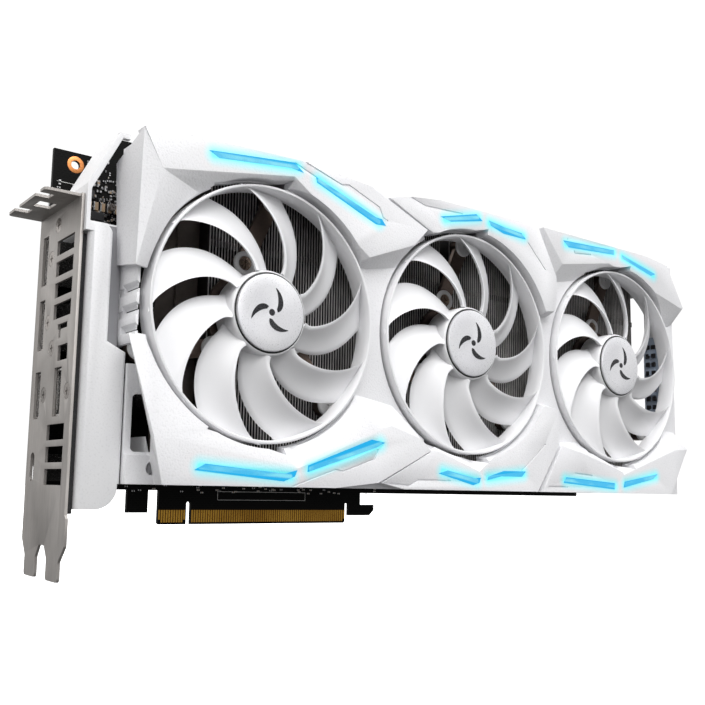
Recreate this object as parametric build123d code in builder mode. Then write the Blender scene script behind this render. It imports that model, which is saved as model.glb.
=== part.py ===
from build123d import *
from math import atan2, cos, degrees, radians, sin
import os

# Triple-fan graphics card, millimetres.
# Origin: centre of the edge connector's key notch, on the board's mid-plane, at the contacts' bottom edge.
# +X runs along the board away from the slot bracket, +Y points to the backplate, +Z up from the slot.

# ---- driving dimensions -------------------------------------------------
board_thickness = 1.57
board_left, board_right = -57.5, 221.0
board_bottom, board_top = 12.2, 129.6
bridge_left, bridge_right, bridge_top = -36.0, 14.0, 138.4
component_face = -board_thickness / 2
solder_face = board_thickness / 2

key_notch = 1.9
short_contacts = 11.2
long_contacts = 71.2
contact_height = 4.2
contact_thickness = 0.05

bracket_face = -59.05
bracket_sheet = 0.9
bracket_recess = 0.55
bracket_back, bracket_front = 3.35, -34.3
bracket_top, bracket_bottom = 104.5, -15.5
bracket_tab = 11.43
slot_pitch = 20.32

fan_centres = (3.8, 99.4, 195.0)
fan_turns = (15.5, 10.0, 10.0)
fan_height = 72.5
fan_radius = 44.25
fan_opening = 45.4
blade_count = 9
hub_radius = 14.8
cap_radius = 13.4
ring_front, ring_back = -46.9, -38.9
cap_front = -47.9
motor_plane = -34.0

shroud_face = -44.0
trim_face = -49.4
shroud_left, shroud_right = -43.6, 242.6
shroud_bottom, shroud_top = 14.2, 126.6
shroud_wall = 1.8

fin_front, fin_back = -31.0, -8.5
fin_bottom, fin_top = 17.5, 122.5
fin_pitch = 2.4
fin_sheet = 0.5
pipe_radius = 3.0
pipe_depth = -15.5
pipe_seat = pipe_depth + pipe_radius
pipe_bend = 8.5

backplate_inner, backplate_outer = 3.0, 4.2
plate_recess = 1.0
clamp_depth = 1.3
gpu_x, gpu_z = 46.0, 74.0

os.makedirs("parts", exist_ok=True)


def save(piece, name):
    """Label a finished piece and write it to parts/ under its node name."""
    piece.part.label = name
    export_step(piece.part, f"parts/{name}.step")


def front_plane(depth):
    """Drawing plane parallel to the board: sketch x is +X, sketch y is +Z, extrusion goes to -Y."""
    return Plane(origin=(0, depth, 0), x_dir=(1, 0, 0), z_dir=(0, -1, 0))


def side_plane(station):
    """Drawing plane square to the board's length: sketch x is +Y, sketch y is +Z, extrusion goes to +X."""
    return Plane(origin=(station, 0, 0), x_dir=(0, 1, 0), z_dir=(1, 0, 0))


def block(x0, x1, y0, y1, z0, z1):
    """Plain box between two corners, in whatever builder is open."""
    with Locations(((x0 + x1) / 2, (y0 + y1) / 2, (z0 + z1) / 2)):
        Box(abs(x1 - x0), abs(y1 - y0), abs(z1 - z0))


# ---- printed circuit board ------------------------------------------------
contacts_left = -key_notch / 2 - short_contacts
contacts_right = key_notch / 2 + long_contacts
tail_left, tail_right = contacts_right + 2.0, contacts_right + 15.4
support_hole = (-49.6, 125.2)
spacer_holes = [(gpu_x - 32, gpu_z - 32), (gpu_x - 32, gpu_z + 32), (gpu_x + 32, gpu_z - 32),
                (gpu_x + 32, gpu_z + 32)]
plate_screws = [(-36, 22), (-36, 112), (90, 26), (90, 120), (150, 26), (214, 22), (214, 122)]

with BuildPart() as pcb:
    with BuildSketch(front_plane(solder_face)):
        with BuildLine():
            Polyline(
                (board_left, board_bottom), (-24.3, board_bottom), (-24.3, 4.2), (-16.3, 4.2),
                (-16.3, board_bottom), (contacts_left, board_bottom), (contacts_left, 0.6),
                (contacts_left + 0.6, 0), (contacts_right - 0.6, 0), (contacts_right, 0.6),
                (contacts_right, 7.9), (tail_left, 7.9), (tail_left, 3.0), (tail_right - 2.4, 3.0),
                (tail_right, 5.2), (tail_right, 7.4), (tail_left + 6.0, 7.4),
                (tail_left + 6.0, board_bottom), (board_right, board_bottom), (board_right, board_top),
                (bridge_right, board_top), (bridge_right, bridge_top), (bridge_left, bridge_top),
                (bridge_left - 5.0, board_top), (board_left, board_top), close=True)
        make_face()
    extrude(amount=board_thickness)
    with BuildSketch(front_plane(solder_face)):
        with Locations((0, 0)):
            SlotOverall(16.6, key_notch, rotation=90)
    extrude(amount=board_thickness, mode=Mode.SUBTRACT)
    with BuildSketch(front_plane(solder_face)):
        with Locations(support_hole):
            Circle(1.6)
        with Locations(*plate_screws, *spacer_holes):
            Circle(1.5)
    extrude(amount=board_thickness, mode=Mode.SUBTRACT)
save(pcb, "pcb")

with BuildPart() as gold_contacts:
    for face_side in (-1, 1):
        face = component_face if face_side < 0 else solder_face
        outer = face + face_side * contact_thickness
        for first, length in ((contacts_left, short_contacts), (key_notch / 2, long_contacts)):
            block(first + 0.4, first + length - 0.4, face, outer, 1.0, 1.0 + contact_height)
save(gold_contacts, "gold_contacts")

# ---- devices on the board ---------------------------------------------------
with BuildPart() as gpu_package:
    block(gpu_x - 20, gpu_x + 20, component_face, component_face - 1.6, gpu_z - 20, gpu_z + 20)
    chamfer(gpu_package.edges().filter_by(Axis.Y), 1.0)
save(gpu_package, "gpu_package")

die_back = component_face - 1.6
die_front = die_back - 0.8
with BuildPart() as gpu_die:
    block(gpu_x - 12.5, gpu_x + 12.5, die_back, die_front, gpu_z - 11, gpu_z + 11)
save(gpu_die, "gpu_die")

memory_places = [(gpu_x - 34, gpu_z - 16), (gpu_x - 34, gpu_z), (gpu_x - 34, gpu_z + 16),
                 (gpu_x - 9, gpu_z + 34), (gpu_x + 9, gpu_z + 34), (gpu_x - 9, gpu_z - 34),
                 (gpu_x + 9, gpu_z - 34), (gpu_x + 33, gpu_z)]
with BuildPart() as memory_chips:
    for mx, mz in memory_places:
        block(mx - 6, mx + 6, component_face, component_face - 1.2, mz - 7, mz + 7)
save(memory_chips, "memory_chips")

with BuildPart() as power_chokes:
    for row in range(8):
        cz = 38 + row * 10.5
        block(116, 124.5, component_face, component_face - 5.6, cz - 4, cz + 4)
    for row in range(3):
        cz = 50 + row * 12
        block(-10, -2, component_face, component_face - 5.6, cz - 4, cz + 4)
save(power_chokes, "power_chokes")

capacitor_places = [(134, 36 + row * 9.5) for row in range(9)] + [(-20, 44 + row * 10) for row in range(4)]
with BuildPart() as capacitors:
    with BuildSketch(front_plane(component_face)):
        with Locations(*capacitor_places):
            Circle(3.15)
    extrude(amount=5.8)
save(capacitors, "capacitors")

# Two sockets for the supply leads stand on the board's upper edge: eight ways and six ways.
socket_pitch = 4.2
with BuildPart() as power_connectors:
    for left, ways in ((166.0, 4), (145.0, 3)):
        length = ways * socket_pitch + 1.6
        block(left, left + length, component_face, component_face - 10.4, 112.0, 129.2)
        for way in range(ways):
            for row in (0, 1):
                cx = left + 0.8 + socket_pitch * (way + 0.5)
                cy = component_face - 3.1 - socket_pitch * row
                with Locations((cx, cy, 129.2 - 5.5)):
                    Box(3.4, 3.4, 11.0, mode=Mode.SUBTRACT)
                with Locations((cx, cy, 122.0)):
                    Box(1.2, 1.2, 9.0)
        block(left + length / 2 - 2.6, left + length / 2 + 2.6, component_face - 10.4,
              component_face - 11.5, 116, 127)
save(power_connectors, "power_connectors")

# ---- display sockets behind the slot bracket --------------------------------
socket_front = bracket_face + bracket_sheet + 0.1
row_near, row_far = -3.1, -21.6


def socket_shell(centre_y, centre_z, width, height, depth, tongue):
    """Open-fronted metal shell standing on the board, with its contact tongue inside."""
    x0, x1 = socket_front, socket_front + depth
    block(x0, x1, centre_y - width / 2, centre_y + width / 2, centre_z - height / 2, centre_z + height / 2)
    with Locations((x0 + (depth - 2) / 2, centre_y, centre_z)):
        Box(depth - 2, width - 1.0, height - 1.0, mode=Mode.SUBTRACT)
    with Locations((x0 + depth / 2 + 0.6, centre_y, centre_z)):
        Box(depth - 1.2, tongue, height - 4.4)


with BuildPart() as displayport_sockets:
    for centre_z in (88.2, 66.2):
        socket_shell(row_near, centre_z, 4.5, 16.4, 16.0, 1.1)
save(displayport_sockets, "displayport_sockets")

with BuildPart() as hdmi_sockets:
    socket_shell(row_near, 42.7, 4.5, 15.0, 12.0, 1.0)
    socket_shell(row_far, 42.7, 5.6, 15.0, 12.0, 1.0)
    block(socket_front + 4, socket_front + 12, row_far + 2.8, row_near - 2.25, 36.2, 49.2)
save(hdmi_sockets, "hdmi_sockets")

with BuildPart() as usb_c_socket:
    socket_shell(-2.45, 19.2, 3.2, 8.9, 8.6, 0.7)
save(usb_c_socket, "usb_c_socket")

# ---- slot bracket -------------------------------------------------------------
bracket_screw_places = [(-14.3, 98.3), (-9.3, 88.0), (-9.3, 66.4), (-14.2, 57.3), (-9.3, 42.5),
                        (-30.3, 42.3)]
vent_places = [(-22.1, 90.3, 15.2, 5.0), (-22.1, 83.2, 15.2, 5.0), (-22.1, 76.1, 15.2, 5.0),
               (-22.1, 69.0, 15.2, 5.0), (-24.6, 55.0, 8.4, 5.0), (-22.1, 30.0, 15.2, 5.0),
               (-22.1, 23.0, 15.2, 5.0), (-22.1, 16.0, 15.2, 5.0)]

with BuildPart() as io_bracket:
    with BuildSketch(side_plane(bracket_face)):
        with BuildLine():
            Polyline(
                (bracket_back, bracket_top), (bracket_back, -4.0), (-0.3, -9.0), (-0.3, bracket_bottom),
                (-10.5, bracket_bottom), (-10.5, -9.0), (-13.2, -5.2), (-17.9, -5.2), (-20.6, -9.0),
                (-20.6, bracket_bottom), (-30.8, bracket_bottom), (-30.8, -9.4), (-35.3, -4.6),
                (-35.3, 3.6), (bracket_front, 4.6), (bracket_front, bracket_top), close=True)
        make_face()
    extrude(amount=bracket_sheet)
    fillet(io_bracket.edges().filter_by(Axis.X).filter_by_position(Axis.Z, -16, -5), 1.2)
    block(bracket_face - bracket_tab, bracket_face, bracket_back, bracket_front + 1.3,
          bracket_top - bracket_sheet, bracket_top)
    fillet(io_bracket.edges().filter_by(Axis.Z).sort_by(Axis.X)[:2], 1.5)
    # screw slots, open towards the outside, and the tooling hole between them
    for slot in (0, 1):
        with Locations((bracket_face - bracket_tab + 1.2, -6.2 - slot * slot_pitch, bracket_top)):
            Box(6.4, 4.5, 4, mode=Mode.SUBTRACT)
    with Locations((-64.7, -16.4, bracket_top)):
        Box(5.4, 6.4, 4, mode=Mode.SUBTRACT)
    # socket openings, cooling vents and countersunk screw holes
    with BuildSketch(side_plane(bracket_face)):
        with Locations((row_near, 88.2), (row_near, 66.2)):
            Rectangle(5.1, 17.0)
        with Locations((row_near, 42.7)):
            Rectangle(5.1, 15.6)
        with Locations((row_far, 42.7)):
            Rectangle(6.2, 15.6)
        with Locations((-2.45, 19.2)):
            SlotOverall(9.5, 3.8, rotation=90)
        for vy, vz, vw, vh in vent_places:
            with Locations((vy, vz)):
                Rectangle(vw, vh)
        with Locations((-23.3, 63.6)):
            Rectangle(8.4, 1.8)
        with Locations((-21.0, 62.2)):
            Rectangle(1.8, 4.6)
    extrude(amount=bracket_sheet, mode=Mode.SUBTRACT)
    with Locations(*[Plane(origin=(bracket_face, sy, sz), z_dir=(-1, 0, 0)).location
                     for sy, sz in bracket_screw_places]):
        CounterBoreHole(1.35, 2.6, bracket_recess, depth=bracket_sheet * 2)
save(io_bracket, "io_bracket")

with BuildPart() as bracket_screws:
    for sy, sz in bracket_screw_places:
        with BuildSketch(side_plane(bracket_face + 0.05)):
            with Locations((sy, sz)):
                Circle(2.5)
        extrude(amount=bracket_recess - 0.05)
        with BuildSketch(side_plane(bracket_face + bracket_recess)):
            with Locations((sy, sz)):
                Circle(1.25)
        extrude(amount=1.9)
        with Locations((bracket_face + 0.1, sy, sz)):
            Box(0.4, 2.4, 0.5, mode=Mode.SUBTRACT)
            Box(0.4, 0.5, 2.4, mode=Mode.SUBTRACT)
save(bracket_screws, "bracket_screws")

with BuildPart() as emi_gasket:
    block(bracket_face + bracket_sheet + 0.1, bracket_face + bracket_sheet + 1.5, -33.6, -31.6, 5.0, 92.0)
    fillet(emi_gasket.edges().filter_by(Axis.X), 0.6)
save(emi_gasket, "emi_gasket")

# ---- cooler -------------------------------------------------------------------
plate_top = die_front
ear_offsets = [(gpu_x + side_x * 29.5, gpu_z + side_z * 29.5) for side_x in (-1, 1) for side_z in (-1, 1)]
with BuildPart() as cold_plate:
    with BuildSketch(front_plane(plate_top)):
        with Locations((gpu_x, gpu_z)):
            Rectangle(54, 54)
        with Locations(*ear_offsets):
            Rectangle(9, 9)
    extrude(amount=2.0)
    block(gpu_x - 27, gpu_x + 27, plate_top, pipe_seat, gpu_z - 27, gpu_z + 27)
    with BuildSketch(front_plane(plate_top)):
        with Locations(*spacer_holes):
            Circle(1.3)
    extrude(amount=2.0, mode=Mode.SUBTRACT)
save(cold_plate, "cold_plate")

chip_top = component_face - 1.2
with BuildPart() as memory_plate:
    block(gpu_x - 43, gpu_x + 42, chip_top, chip_top - 1.5,
          gpu_z - 43, gpu_z + 43)
    with Locations((gpu_x, 0, gpu_z)):
        Box(56, 20, 56, mode=Mode.SUBTRACT)
    with Locations(*[(ear_x, 0, ear_z) for ear_x, ear_z in ear_offsets]):
        Box(11, 20, 11, mode=Mode.SUBTRACT)
save(memory_plate, "memory_plate")

pipe_pairs = (38.0, 72.5, 107.0)
pipe_left, pipe_right = -13.0, 229.5


def pipe_route(middle):
    """Hairpin: out along one height, round the bend at the bracket end, back along the other."""
    with BuildLine(front_plane(pipe_depth)) as route:
        Line((pipe_right, middle + pipe_bend), (pipe_left, middle + pipe_bend))
        CenterArc((pipe_left, middle), pipe_bend, 90, 180)
        Line((pipe_left, middle - pipe_bend), (pipe_right, middle - pipe_bend))
    return route


with BuildPart() as heat_pipes:
    for middle in pipe_pairs:
        route = pipe_route(middle)
        with BuildSketch(Plane(origin=(pipe_right, pipe_depth, middle + pipe_bend), z_dir=(-1, 0, 0))):
            Circle(pipe_radius)
        sweep(path=route.wires()[0])
save(heat_pipes, "heat_pipes")


def fin_stack(left, count):
    """Upright sheets on a common base plate, bored for the heat pipes."""
    length = (count - 1) * fin_pitch
    depth = fin_back - fin_front
    with BuildPart() as stack:
        with BuildSketch(Plane.XY.offset(fin_bottom)):
            with Locations((left + length / 2, (fin_front + fin_back) / 2)):
                with GridLocations(fin_pitch, depth, count, 1):
                    Rectangle(fin_sheet, depth)
            with Locations((left + length / 2, fin_back - 0.5)):
                Rectangle(length + fin_sheet, 1.0)
        extrude(amount=fin_top - fin_bottom)
        with BuildSketch(side_plane(left - 5)):
            for middle in pipe_pairs:
                with Locations((pipe_depth, middle - pipe_bend), (pipe_depth, middle + pipe_bend)):
                    Circle(pipe_radius + 0.05)
        extrude(amount=length + 10, mode=Mode.SUBTRACT)
    return stack


fin_stack_front = fin_stack(-11.5, 46)
with fin_stack_front:
    block_middle, block_depth = (fin_back + pipe_seat) / 2, fin_back - pipe_seat
    with Locations((gpu_x, block_middle, gpu_z)):
        Box(54.4, block_depth, 54.4, mode=Mode.SUBTRACT)
save(fin_stack_front, "fin_stack_front")

fin_stack_rear = fin_stack(102.5, 53)
with fin_stack_rear:
    with Locations((165.0, fin_back - 2.5, 118.0)):
        Box(46, 11, 20, mode=Mode.SUBTRACT)
save(fin_stack_rear, "fin_stack_rear")

# ---- backplate and the clamp behind the processor --------------------------------
with BuildPart() as retention_plate:
    with BuildSketch(front_plane(backplate_outer - clamp_depth)):
        with Locations((gpu_x, gpu_z)):
            Rectangle(74, 16, rotation=45)
            Rectangle(74, 16, rotation=-45)
            Rectangle(40, 40)
            Rectangle(26, 26, mode=Mode.SUBTRACT)
    extrude(amount=1.4)
    with BuildSketch(front_plane(backplate_outer)):
        with Locations(*spacer_holes):
            Circle(1.3)
    extrude(amount=4, mode=Mode.SUBTRACT)
save(retention_plate, "retention_plate")


def screws(places, seat, head_radius, head_height, shank_radius, shank_length, towards):
    """Cross-head screws square to the board; towards is the way their shanks point along Y."""
    with BuildPart() as group:
        for sx, sz in places:
            shank_end = seat + towards * shank_length
            with BuildSketch(front_plane(max(seat, shank_end))):
                with Locations((sx, sz)):
                    Circle(shank_radius)
            extrude(amount=shank_length)
            with BuildSketch(front_plane(max(seat, seat - towards * head_height))):
                with Locations((sx, sz)):
                    Circle(head_radius)
            extrude(amount=head_height)
            with Locations((sx, seat - towards * (head_height - 0.3), sz)):
                Box(head_radius, 0.6, 0.5, mode=Mode.SUBTRACT)
                Box(0.5, 0.6, head_radius, mode=Mode.SUBTRACT)
    return group


clamp_screws = screws(spacer_holes, backplate_outer - clamp_depth, 2.7, 1.0, 1.25, 7.0, -1)
save(clamp_screws, "clamp_screws")

with BuildPart() as backplate:
    with BuildSketch(front_plane(backplate_outer)):
        with BuildLine():
            Polyline(
                (-57.0, 20.0), (-51.0, 14.0), (238.0, 14.0), (242.0, 18.0), (242.0, 122.0),
                (234.0, 129.4), (-40.0, 129.4), (-57.0, 114.0), close=True)
        make_face()
    extrude(amount=backplate_outer - backplate_inner)
    with BuildSketch(front_plane(backplate_inner)):
        with Locations(*plate_screws):
            Circle(3.2)
    extrude(amount=backplate_inner - solder_face)
    with BuildSketch(front_plane(backplate_outer)):
        with Locations((gpu_x, gpu_z)):
            Rectangle(76, 76)
        with Locations(*plate_screws):
            Circle(1.5)
        with Locations((196, 72.5)):
            with GridLocations(7.0, 30.0, 7, 3):
                SlotOverall(24.0, 3.2, rotation=62)
    extrude(amount=backplate_outer - solder_face, mode=Mode.SUBTRACT)
    with BuildSketch(front_plane(backplate_outer)):
        with Locations(*plate_screws):
            Circle(2.7)
    extrude(amount=plate_recess, mode=Mode.SUBTRACT)
save(backplate, "backplate")

plate_fixings = screws(plate_screws, backplate_outer - plate_recess, 2.6, 0.9, 1.4, 6.0, -1)
save(plate_fixings, "backplate_screws")

# ---- shroud -----------------------------------------------------------------------
opening_corners = ((7.3, 47.7), (-23.4, 40.6))
inner_face = shroud_face + shroud_wall
shroud_depth = 22.0

with BuildPart() as shroud_base:
    with BuildSketch(front_plane(shroud_face + shroud_depth)) as outline:
        with BuildLine():
            Polyline(
                (-32.0, shroud_bottom), (shroud_right, shroud_bottom), (shroud_right, shroud_top),
                (shroud_left, shroud_top), (shroud_left, 60.0), close=True)
        make_face()
    extrude(amount=shroud_depth)
    with BuildSketch(front_plane(shroud_face + shroud_depth)):
        add(outline.sketch)
        offset(amount=-shroud_wall, kind=Kind.INTERSECTION, mode=Mode.REPLACE)
    extrude(amount=shroud_depth - shroud_wall, mode=Mode.SUBTRACT)
    with BuildSketch(front_plane(inner_face)):
        for centre in fan_centres:
            with Locations((centre, fan_height)):
                Circle(fan_opening)
            for side in (-1, 1):
                corners = [(centre + dx, fan_height + side * dz) for dx, dz in opening_corners]
                Polygon(*corners, (centre, fan_height), align=None)
    extrude(amount=shroud_wall, mode=Mode.SUBTRACT)
    # the bracket end stands open below and above the notched strip
    with Locations((-40.0, -31.0, 38.0)):
        Box(12, 22.4, 40, mode=Mode.SUBTRACT)
    with Locations((-44.0, -31.0, 108.0)):
        Box(6, 22.4, 44, mode=Mode.SUBTRACT)
    # between the panels' ends the face is cut back to a grooved upright
    with Locations((-40.3, shroud_face, 72.0)):
        Box(4.6, 5.0, 23.0, mode=Mode.SUBTRACT)
    with Locations((shroud_left, -37.0, 67.6), (shroud_left, -37.0, 74.8)):
        Box(1.4, 15.0, 2.8, mode=Mode.SUBTRACT)
    # the tail wall is open towards the back, for the air
    with Locations((shroud_right, -24.0, 78.0)):
        Box(6.0, 10.8, 80.0, mode=Mode.SUBTRACT)
    # recessed panel low on the bracket end, with a window and a fixing lug under it
    block(-42.1, -27.0, -36.0, -34.5, shroud_bottom, 52.0)
    block(-42.1, -27.0, -38.0, -34.5, shroud_bottom, 23.4)
    with BuildSketch(front_plane(-34.5)):
        with Locations((-33.0, 33.4)):
            RectangleRounded(13.6, 18.2, 1.5)
        with Locations((-33.0, 19.2)):
            Circle(2.1)
    extrude(amount=3.5, mode=Mode.SUBTRACT)
    # posts down to the fins, and long posts to the backplate past the board's end
    with BuildSketch(front_plane(fin_front)):
        with Locations((51.6, 117.5), (51.6, 27.5), (147.2, 117.5), (147.2, 27.5)):
            Circle(3.0)
    extrude(amount=fin_front - inner_face)
    with BuildSketch(front_plane(backplate_inner)):
        with Locations((234.5, 24.0), (234.5, 116.0)):
            Circle(3.2)
    extrude(amount=backplate_inner - inner_face)
save(shroud_base, "shroud_base")


def hull(front, back, front_depth=trim_face, back_depth=shroud_face):
    """Corner points of a moulded block: its front outline and the wider outline of its back."""
    return [(x, front_depth, z) for x, z in front] + [(x, back_depth, z) for x, z in back]


upper_bars = (
    (((-23.1, 122.5), (10.6, 126.1), (14.4, 123.3), (9.1, 123.9), (-19.3, 120.8)),
     ((19.8, 123.0), (47.3, 113.6), (50.0, 113.5), (52.0, 111.3), (47.3, 111.0), (20.2, 121.1))),
    (((79.8, 120.4), (99.6, 125.2), (103.2, 123.0), (85.5, 119.4)),
     ((106.9, 123.9), (116.2, 122.8), (126.5, 122.2), (129.1, 120.0), (115.5, 120.0), (108.1, 122.0))),
    (((153.5, 124.0), (189.4, 125.6), (189.3, 123.6), (157.3, 121.5)),
     ((195.5, 124.4), (221.4, 119.3), (218.0, 118.0), (196.0, 122.9))))
lower_bars = (
    (((-24.1, 19.0), (-20.3, 21.0), (9.5, 18.6), (14.6, 19.9), (13.6, 17.8), (9.2, 16.1)),
     ((19.0, 21.6), (46.6, 31.6), (52.6, 30.7), (48.8, 28.9), (18.8, 19.4))),
    (((79.1, 20.4), (83.8, 21.6), (98.5, 18.9), (101.7, 19.3), (100.8, 17.3), (97.4, 16.3)),
     ((105.9, 19.8), (114.6, 22.2), (127.6, 22.3), (125.3, 20.2), (113.4, 20.1), (105.3, 18.4))),
    (((153.1, 20.5), (186.1, 18.6), (185.9, 15.9), (151.3, 18.2)),
     ((193.5, 19.4), (218.5, 23.3), (215.2, 21.1), (192.6, 16.8))))
bar_back, bar_front = -48.1, -49.5

upper_blocks = (
    ([(-45.8, -49.0, 125.0), (-39.1, -49.4, 112.8), (-46.2, -48.2, 81.0), (-47.0, -31.0, 117.6),
      (-45.2, -31.0, 84.0), (-20.0, -44.0, 112.5), (-38.0, -44.0, 81.0), (-20.0, -44.0, 125.0)],
     hull(((-45.8, 125.0), (-39.1, 112.8), (10.7, 121.2), (16.0, 127.6), (-20.0, 126.4)),
          ((-45.8, 125.0), (-36.0, 106.0), (10.7, 116.0), (16.0, 127.6), (-20.0, 126.4))),
     hull(((10.7, 121.2), (16.0, 127.6), (45.0, 125.0), (52.4, 122.1), (73.1, 113.6), (66.5, 106.5),
           (54.6, 104.0), (44.6, 98.0)),
          ((10.7, 116.0), (16.0, 127.6), (45.2, 125.0), (52.7, 122.1), (73.5, 113.6), (60.5, 97.6),
           (47.0, 95.0), (40.0, 95.0)))),
    (hull(((54.0, 122.6), (63.9, 125.1), (80.0, 127.0), (137.0, 127.2), (148.6, 107.0), (149.0, 99.0),
           (147.2, 91.4), (141.0, 90.6), (76.5, 112.9)),
          ((53.3, 122.4), (63.9, 125.3), (80.0, 127.2), (137.4, 127.2), (149.2, 107.0), (149.6, 98.6),
           (147.6, 89.6), (140.0, 88.4), (74.1, 113.8))),),
    (hull(((140.7, 127.4), (152.8, 113.2), (186.0, 118.9), (190.0, 127.2)),
          ((139.6, 127.4), (150.6, 105.7), (186.0, 112.0), (190.0, 127.2))),
     hull(((186.0, 127.2), (186.0, 118.9), (194.0, 118.5), (242.5, 105.1), (244.0, 105.6),
           (231.5, 125.0), (215.0, 127.0)),
          ((186.0, 127.2), (186.0, 112.0), (204.0, 112.0), (238.0, 96.0), (241.5, 97.5),
           (244.4, 104.8), (231.8, 125.0), (215.0, 127.2)))))
lower_blocks = (
    ([(-38.5, -49.4, 29.5), (14.6, -49.4, 20.5), (14.6, -49.4, 14.2), (-34.9, -49.4, 14.2),
      (-46.2, -45.2, 60.0), (-38.0, -44.0, 60.0), (14.6, -44.0, 29.0), (14.6, -44.0, 14.2),
      (-32.6, -44.0, 14.2), (-45.4, -44.0, 60.0)],
     hull(((14.6, 20.5), (14.6, 14.2), (30.7, 14.2), (50.0, 16.3), (75.4, 28.7), (70.0, 33.0),
           (56.0, 37.0), (47.9, 34.1)),
          ((14.6, 29.0), (14.6, 14.2), (30.7, 14.2), (50.4, 16.3), (76.2, 29.0), (72.1, 36.0),
           (60.3, 45.0), (48.5, 46.8), (38.6, 48.6)))),
    (hull(((51.6, 16.3), (76.6, 28.9), (79.1, 28.7), (100.8, 21.6), (100.8, 14.2), (62.0, 14.2)),
          ((50.9, 16.2), (76.8, 29.2), (82.0, 31.0), (100.8, 26.0), (100.8, 14.2), (62.0, 14.2))),
     hull(((100.8, 21.6), (100.8, 14.2), (135.1, 14.2), (148.7, 33.8), (148.5, 49.0), (140.0, 50.0),
           (133.0, 43.0)),
          ((100.8, 26.0), (100.8, 14.2), (135.6, 14.2), (149.2, 33.8), (149.0, 50.6), (138.0, 51.6),
           (130.0, 44.0)))),
    (hull(((150.6, 33.8), (164.5, 31.0), (192.9, 23.4), (192.9, 14.2), (138.2, 14.2)),
          ((150.2, 34.4), (166.0, 36.0), (192.9, 26.0), (192.9, 14.2), (137.4, 14.2))),
     hull(((192.9, 22.4), (192.9, 14.2), (229.4, 14.2), (243.5, 35.8), (233.2, 34.9), (208.5, 27.0)),
          ((192.9, 26.0), (192.9, 14.2), (229.8, 14.2), (244.2, 36.2), (240.5, 44.0), (231.0, 44.6)))))


def front_trim(blocks, bars, side):
    """Moulded panel above (side 1) or below (side -1) the fans, cut clear of every fan opening."""
    with BuildPart() as trim:
        for corners in blocks:
            ConvexPolyhedron(corners)
        with BuildSketch(front_plane(shroud_face + 1.0)):
            for centre in fan_centres:
                with Locations((centre, fan_height)):
                    Circle(fan_opening + 0.5)
                corners = [(centre + dx, fan_height + side * dz) for dx, dz in opening_corners]
                Polygon(*corners, (centre, fan_height), align=None)
        extrude(amount=10, mode=Mode.SUBTRACT)
        # nothing of the panel reaches behind the shroud's face, apart from its end cheek
        with Locations(((shroud_left + 250) / 2, shroud_face + 10, 70)):
            Box(250 - shroud_left, 20, 160, mode=Mode.SUBTRACT)
        for bar in bars:
            with BuildSketch(front_plane(bar_back)):
                Polygon(*bar, align=None)
            extrude(amount=3, mode=Mode.SUBTRACT)
    return trim


for index in range(3):
    save(front_trim(upper_blocks[index], upper_bars[index], 1), f"upper_trim_{index + 1}")
    save(front_trim(lower_blocks[index], lower_bars[index], -1), f"lower_trim_{index + 1}")


def light_bars(groups):
    """Translucent bars filling the slots of one row of panels."""
    with BuildPart() as bars:
        for group in groups:
            for bar in group:
                with BuildSketch(front_plane(bar_back)):
                    Polygon(*bar, align=None)
                extrude(amount=bar_back - bar_front)
    return bars


save(light_bars(upper_bars), "light_bars_upper")
save(light_bars(lower_bars), "light_bars_lower")

# ---- bracket-end cover ----------------------------------------------------------
frame_back, frame_front = -31.0, -36.0
brace_back = -16.2
with BuildPart() as side_frame:
    with BuildSketch(front_plane(frame_back)) as frame_outline:
        with BuildLine():
            Polyline(
                (-56.5, 6.4), (-43.5, 6.4), (-43.5, shroud_bottom), (-42.4, shroud_bottom), (-42.4, 55.5),
                (-48.6, 58.5), (-48.6, 93.0), (-51.0, 95.6), (-56.5, 95.6), close=True)
        make_face()
        fillet(frame_outline.vertices().sort_by(Axis.Y)[:2].sort_by(Axis.X)[-1], 7.0)
    extrude(amount=frame_back - frame_front)
    column_edges = side_frame.faces().sort_by(Axis.Y)[0].edges().filter_by_position(Axis.Z, 20, 94)
    fillet(column_edges, 1.6)
    block(-50.0, -44.4, frame_back, frame_back + 1.4, 50.0, 97.0)
    with BuildSketch(front_plane(brace_back)):
        with BuildLine():
            Polyline(
                (-58.0, 92.6), (-55.0, 92.6), (-55.0, 95.6), (-56.7, 95.6), (-56.7, 106.0),
                (-46.8, 125.4), (-48.2, 126.4), (-58.0, 107.6), close=True)
        make_face()
    extrude(amount=brace_back - frame_front)
    block(-48.4, -44.6, frame_front, frame_front + 2.0, 124.8, 126.4)
save(side_frame, "side_frame")

# Small driver board for the light bars, upright against the inside of the tail wall.
with BuildPart() as light_driver_board:
    block(shroud_right - shroud_wall - 1.6, shroud_right - shroud_wall, -38.5, -29.8, 48.0, 92.0)
    for row in range(4):
        block(shroud_right - shroud_wall - 2.6, shroud_right - shroud_wall - 1.6, -36.4, -32.4,
              53.0 + row * 10.0, 56.0 + row * 10.0)
save(light_driver_board, "light_driver_board")

# ---- switch and button on the board's upper edge ----------------------------------
switch_x, button_x = 70.0, 205.0
control_top = 129.4
slide_travel = 2.0
with BuildPart() as switch_housing:
    block(switch_x - 4.5, switch_x + 4.5, component_face, component_face - 4.0, 122.0, control_top)
    with Locations((switch_x, component_face - 2.0, control_top - 1.2)):
        Box(4.6, 2.0, 3.4, mode=Mode.SUBTRACT)
save(switch_housing, "switch_housing")

with BuildPart() as switch_slider:
    slider_x = switch_x - slide_travel / 2
    block(slider_x - 0.9, slider_x + 0.9, component_face - 1.3, component_face - 2.7, 127.0, control_top + 1.4)
save(switch_slider, "switch_slider")

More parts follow.
